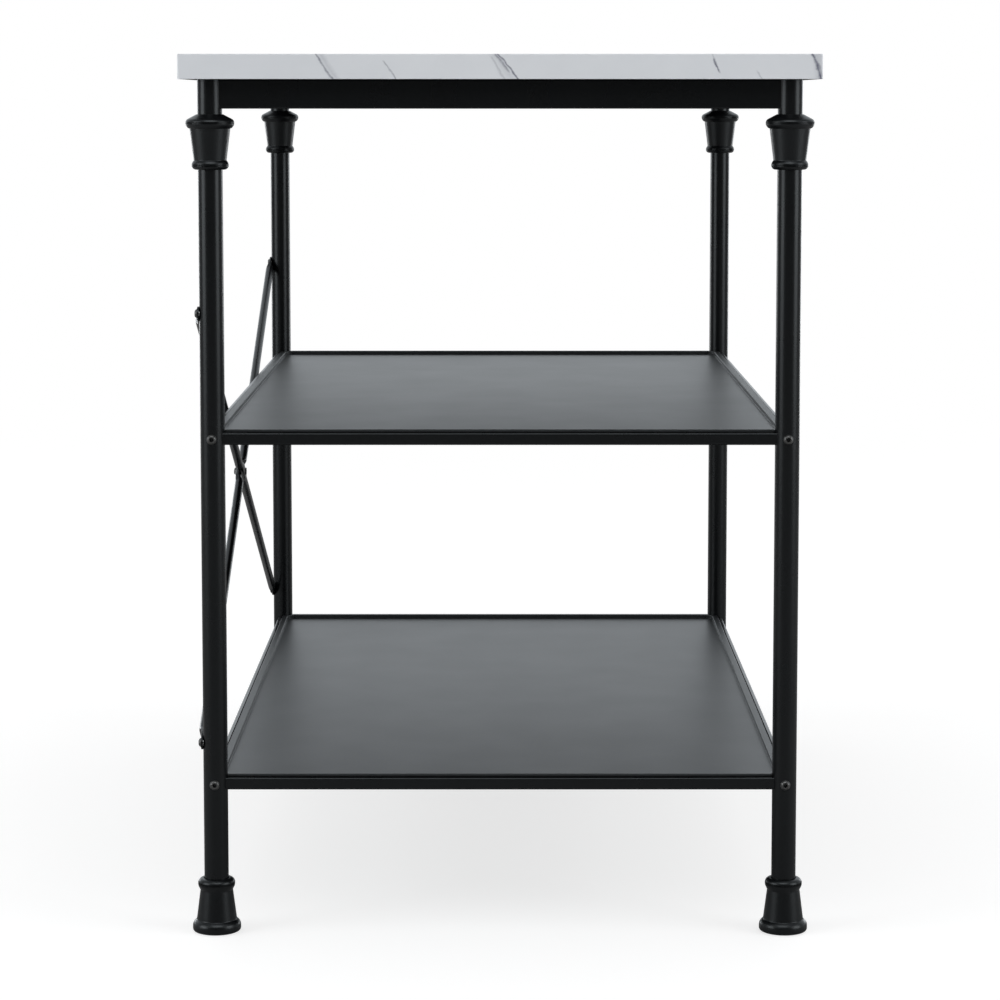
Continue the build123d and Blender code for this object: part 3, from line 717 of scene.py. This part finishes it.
# Worktop laminate: a thin printed sheet with a white marble pattern, glued over the board's face and
# wrapped down its edges. Grey veins cross it at a slant and lean over at the edges.
laminate_thickness = 0.8 * mm
laminate_corner_radius = 2.0 * mm
laminate_edge_radius = 0.7 * mm
laminate_rim = 1.9 * mm
corner_steps = 9
marble_white = (0.800, 0.818, 0.845)
marble_grey = (0.745, 0.764, 0.796)
vein_grey = (0.085, 0.088, 0.145)
vein_slope = 0.42
above_face = -9
below_edge = 40
veins = (
    # place across the near end's upper edge, lean down the edge, half width, darkness, and the depths
    # below the face between which it shows; lengths in millimetres
    (186.5, 0.64, 2.0, 0.68, above_face, below_edge),
    (182.0, 0.64, 5.0, 0.20, above_face, below_edge),
    (122.5, 0.68, 1.5, 0.52, 9, below_edge),
    (1.9, 0.81, 1.9, 0.90, above_face, below_edge),
    (4.0, 0.67, 2.6, 0.72, above_face, 17),
    (6.0, 0.70, 7.0, 0.13, above_face, below_edge),
    (10.3, 0.56, 2.2, 0.30, 4, below_edge),
    (-214.0, 0.42, 1.2, 0.32, above_face, 8),
    (-214.0, 0.44, 1.6, 0.85, 6, 17),
    (-249.2, 0.64, 1.3, 0.30, 19, below_edge),
    (-316.5, 0.36, 2.8, 1.00, above_face, below_edge),
    (-318.5, 0.28, 4.2, 0.80, 10, below_edge),
    (-321.0, 0.10, 6.0, 0.26, above_face, below_edge),
)
vein_fade = 3.0 * mm
vein_bend = 0.20
vein_jitter = 1.1 * mm
hairline_stretch = 0.3
hairline_darkness = 0.34
hairline_band = 0.007
hairline_start = 0.02
hairline_full = 0.20
laminate_low, laminate_high = (np.array(end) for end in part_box("worktop_laminate"))


def math_node(tree, operation, first, second=None):
    """One step of arithmetic on values or fixed numbers."""
    step = tree.nodes.new("ShaderNodeMath")
    step.operation = operation
    for socket, value in zip(step.inputs, (first, second)):
        if isinstance(value, (int, float)):
            socket.default_value = value
        elif value is not None:
            tree.links.new(value, socket)
    return step.outputs["Value"]


def marble_print(name):
    """A printed marble: pale clouds, and veins that are the places near a slanted sheet through the slab.

    A vein's distance is how far a point lies across from its sheet: y, less the slope along x, plus the
    lean down the edge, bent by a noise that grows away from the near end. The vein is darkest at no
    distance and gone at its half width, and it fades out past its two depths. Fainter hairlines, where
    a broad noise drawn out along the veins passes its middle value, come in away from the near end.
    """
    material, tree, shader, place = empty_material(name)
    parts = tree.nodes.new("ShaderNodeSeparateXYZ")
    tree.links.new(place, parts.inputs["Vector"])
    from_end = math_node(tree, "SUBTRACT", parts.outputs["X"], float(laminate_low[0]))
    depth = math_node(tree, "SUBTRACT", float(laminate_high[2]), parts.outputs["Z"])
    run = math_node(tree, "MULTIPLY", from_end, vein_slope)
    wide_bend = noise(tree, place, scale=2.6, detail=4, roughness=0.45)
    wander = math_node(tree, "MULTIPLY", spread(tree, wide_bend, -vein_bend, vein_bend), from_end)
    fine_bend = noise(tree, place, scale=110, detail=4, roughness=0.6)
    jitter = spread(tree, fine_bend, -vein_jitter, vein_jitter)
    sheet = math_node(tree, "SUBTRACT", parts.outputs["Y"], run)
    sheet = math_node(tree, "ADD", math_node(tree, "ADD", sheet, wander), jitter)
    total = 0.0
    for across, lean, half_width, darkness, shallow, deep in veins:
        bent = math_node(tree, "ADD", sheet, math_node(tree, "MULTIPLY", depth, lean))
        away = math_node(tree, "ABSOLUTE", math_node(tree, "SUBTRACT", bent, across * mm))
        line = spread(tree, away, darkness, 0, 0, half_width * mm)
        begin = spread(tree, depth, 0, 1, shallow * mm - vein_fade, shallow * mm)
        finish = spread(tree, depth, 1, 0, deep * mm, deep * mm + vein_fade)
        line = math_node(tree, "MULTIPLY", math_node(tree, "MULTIPLY", line, begin), finish)
        total = math_node(tree, "MAXIMUM", total, line)
    broken = spread(tree, noise(tree, place, scale=90, detail=4, roughness=0.7), 0.65, 1.2)
    strength = math_node(tree, "MULTIPLY", total, broken)
    drawn_out = tree.nodes.new("ShaderNodeCombineXYZ")
    tree.links.new(math_node(tree, "MULTIPLY", from_end, hairline_stretch), drawn_out.inputs["X"])
    tree.links.new(sheet, drawn_out.inputs["Y"])
    tree.links.new(depth, drawn_out.inputs["Z"])
    broad = noise(tree, drawn_out.outputs["Vector"], scale=4.0, detail=4)
    crease = math_node(tree, "ABSOLUTE", math_node(tree, "SUBTRACT", broad, 0.5))
    hairline = spread(tree, crease, hairline_darkness, 0, 0, hairline_band)
    hairline = math_node(tree, "MULTIPLY", hairline, broken)
    coming_in = spread(tree, from_end, 0, 1, hairline_start, hairline_full)
    hairline = math_node(tree, "MULTIPLY", hairline, coming_in)
    strength = math_node(tree, "MAXIMUM", strength, hairline)
    clouds = spread(tree, noise(tree, place, scale=7, detail=6, roughness=0.6), 0, 1)
    base = mixed(tree, clouds, marble_grey, marble_white)
    tree.links.new(mixed(tree, strength, base, vein_grey), shader.inputs["Base Color"])
    sheen = noise(tree, place, scale=60, detail=3)
    tree.links.new(spread(tree, sheen, 0.30, 0.36), shader.inputs["Roughness"])
    shader.inputs["Specular IOR Level"].default_value = 0.45
    bumped(tree, shader, noise(tree, place, scale=800, detail=2), strength=0.06, distance=0.05 * mm)
    return material


def laminate_points():
    """The sheet's section carried round the worktop: in under the face, out over the edge and back.

    The loop is a rectangle with rounded corners. A point of the section stands in from it along the
    loop's own normal, which is the direction from the corner's centre within a corner.
    """
    half = (laminate_high - laminate_low)[:2] / 2
    middle = (laminate_high + laminate_low)[:2] / 2
    inner = half - laminate_corner_radius
    quarter_turns = np.arange(4) * math.pi / 2
    angle = (quarter_turns[:, None] + np.linspace(0, math.pi / 2, corner_steps)).ravel()
    normal = np.stack([np.cos(angle), np.sin(angle)], axis=-1)
    quadrant = np.repeat([(1, 1), (-1, 1), (-1, -1), (1, -1)], corner_steps, axis=0)
    tall = laminate_high[2] - laminate_low[2]
    inside = tall - laminate_thickness
    section = (
        # distance in from the edge, height above the underside, corner radius
        (laminate_rim, tall, 0.1 * mm),
        (0, tall, laminate_edge_radius),
        (0, 0, 0.25 * mm),
        (laminate_thickness, 0, 0.2 * mm),
        (laminate_thickness, inside, 0.2 * mm),
        (laminate_rim, inside, 0.1 * mm),
    )
    section = np.array(section)
    outline = rounded(section[:, :2], section[:, 2], closed=False)
    stand = (laminate_corner_radius - outline[:, 0])[:, None, None]
    plan = middle + quadrant * inner + stand * normal
    height = np.broadcast_to(laminate_low[2] + outline[:, 1, None, None], (*plan.shape[:2], 1))
    return np.concatenate([plan, height], axis=-1)


laminate = surface("worktop_marble_sheet", laminate_points()[None])
dress(laminate, marble_print("marble_print"), "marble_laminate", "frame", "worktop_laminate")

# Floor: a plain pale sheet that takes the island's soft shadow. Towards its edges it passes into the
# white of the background, so that no horizon shows.
floor_half = 30.0
floor_tone = (0.42, 0.42, 0.42)
floor_lift = 0.70
fade_start = 1.6
fade_end = 4.5
floor_grid = np.array([(-1, -1, 0), (1, -1, 0), (1, 1, 0), (-1, 1, 0)]) * floor_half
floor_mesh = bpy.data.meshes.new("floor")
floor_mesh.from_pydata(floor_grid, [], [(0, 1, 2, 3)])
floor = bpy.data.objects.new("floor", floor_mesh)
bpy.context.scene.collection.objects.link(floor)


def floor_material():
    """Pale matt floor, lifted to white for the camera only, and plain white far from the island."""
    material = bpy.data.materials.new("pale_floor")
    material.use_nodes = True
    tree = material.node_tree
    tree.nodes.clear()
    output = tree.nodes.new("ShaderNodeOutputMaterial")
    matt = tree.nodes.new("ShaderNodeBsdfDiffuse")
    matt.inputs["Color"].default_value = (*floor_tone, 1)
    lift = tree.nodes.new("ShaderNodeEmission")
    white = tree.nodes.new("ShaderNodeEmission")
    white.inputs["Strength"].default_value = 1.0
    path = tree.nodes.new("ShaderNodeLightPath")
    seen_lift = math_node(tree, "MULTIPLY", path.outputs["Is Camera Ray"], floor_lift)
    tree.links.new(seen_lift, lift.inputs["Strength"])
    near = tree.nodes.new("ShaderNodeAddShader")
    tree.links.new(matt.outputs["BSDF"], near.inputs[0])
    tree.links.new(lift.outputs["Emission"], near.inputs[1])
    place = tree.nodes.new("ShaderNodeTexCoord").outputs["Object"]
    span = tree.nodes.new("ShaderNodeVectorMath")
    span.operation = "LENGTH"
    tree.links.new(place, span.inputs[0])
    fade = spread(tree, span.outputs["Value"], 0, 1, fade_start, fade_end)
    share = math_node(tree, "MULTIPLY", fade, path.outputs["Is Camera Ray"])
    blend = tree.nodes.new("ShaderNodeMixShader")
    tree.links.new(share, blend.inputs["Fac"])
    tree.links.new(near.outputs["Shader"], blend.inputs[1])
    tree.links.new(white.outputs["Emission"], blend.inputs[2])
    tree.links.new(blend.outputs["Shader"], output.inputs["Surface"])
    return material


floor_mesh.materials.append(floor_material())

# Studio: a white surround for the camera, a broad even light, and soft boxes to both sides, tall ones
# near and low ones far, that draw light strips down the legs. A box high in front shows only in
# reflections. The surround that reflections see is darker on the photograph's camera side.
room_level = 0.58
backdrop_level = 1.12
ceiling_level = 0.5
camera_side_level = 0.02
surround_tint = (0.90, 0.955, 1.0)
lamp_tint = (0.95, 0.98, 1.0)
world = bpy.data.worlds.new("studio")
bpy.context.scene.world = world
world.use_nodes = True
tree = world.node_tree
background = tree.nodes["Background"]
path = tree.nodes.new("ShaderNodeLightPath")
direction = tree.nodes.new("ShaderNodeSeparateXYZ")
tree.links.new(tree.nodes.new("ShaderNodeTexCoord").outputs["Generated"], direction.inputs["Vector"])
behind = spread(tree, direction.outputs["X"], camera_side_level, backdrop_level, -0.1, 0.85)
above = spread(tree, direction.outputs["Z"], 0, ceiling_level, 0.35, 0.9)
surround = math_node(tree, "MAXIMUM", behind, above)
mirrored = math_node(tree, "MAXIMUM", path.outputs["Is Glossy Ray"], path.outputs["Is Transmission Ray"])
gap = math_node(tree, "SUBTRACT", surround, room_level)
level = math_node(tree, "ADD", math_node(tree, "MULTIPLY", gap, mirrored), room_level)
seen = math_node(tree, "SUBTRACT", 1.0, level)
seen = math_node(tree, "MULTIPLY", seen, path.outputs["Is Camera Ray"])
tree.links.new(math_node(tree, "ADD", level, seen), background.inputs["Strength"])
tree.links.new(mixed(tree, mirrored, (1, 1, 1), surround_tint), background.inputs["Color"])


def soft_box(name, place, target, wide, tall, power):
    """A rectangular soft light at one point, facing another, unseen by the camera."""
    lamp = bpy.data.lights.new(name, "AREA")
    lamp.shape = "RECTANGLE"
    lamp.size = wide
    lamp.size_y = tall
    lamp.energy = power
    lamp.color = lamp_tint
    light = bpy.data.objects.new(name, lamp)
    bpy.context.scene.collection.objects.link(light)
    facing = np.array(target) - np.array(place)
    pan = math.atan2(facing[1], facing[0]) - math.pi / 2
    tilt = math.pi / 2 + math.atan2(facing[2], math.hypot(facing[0], facing[1]))
    light.rotation_euler = (tilt, 0, pan)
    light.location = place
    light.visible_camera = False
    return light


for name, hand in (("left", 1), ("right", -1)):
    soft_box(f"{name}_soft_box", (-2.05, 3.95 * hand, 1.7), (0, 0, 0.6), wide=2.6, tall=2.8, power=80)
    soft_box(f"far_{name}_soft_box", (3.8, 2.6 * hand, 0.5), (0, 0, 0.5), wide=1.4, tall=0.9, power=14)
front_box = soft_box("front_soft_box", (-2.4, 0, 2.9), (0, 0, 0.6), wide=2.4, tall=1.7, power=38)
front_box.visible_diffuse = False
soft_box("top_soft_box", (0.6, 0, 3.6), (0, 0, 0.9), wide=2.4, tall=1.8, power=8)

# Camera: at the photograph's end of the island, a little below the worktop, looking slightly down. A
# small shift of the lens does the rest of the framing.
camera_place = (-3.6707, 0, 0.8681)
camera_pitch = 5.564
camera_data = bpy.data.cameras.new("camera")
camera_data.sensor_width = 36.0
camera_data.lens = 110.95
camera_data.shift_y = -0.10
camera = bpy.data.objects.new("camera", camera_data)
camera.location = camera_place
camera.rotation_euler = (math.radians(90 - camera_pitch), 0, math.radians(-90))
bpy.context.scene.collection.objects.link(camera)
bpy.context.scene.camera = camera
bpy.context.scene.view_settings.view_transform = "Standard"
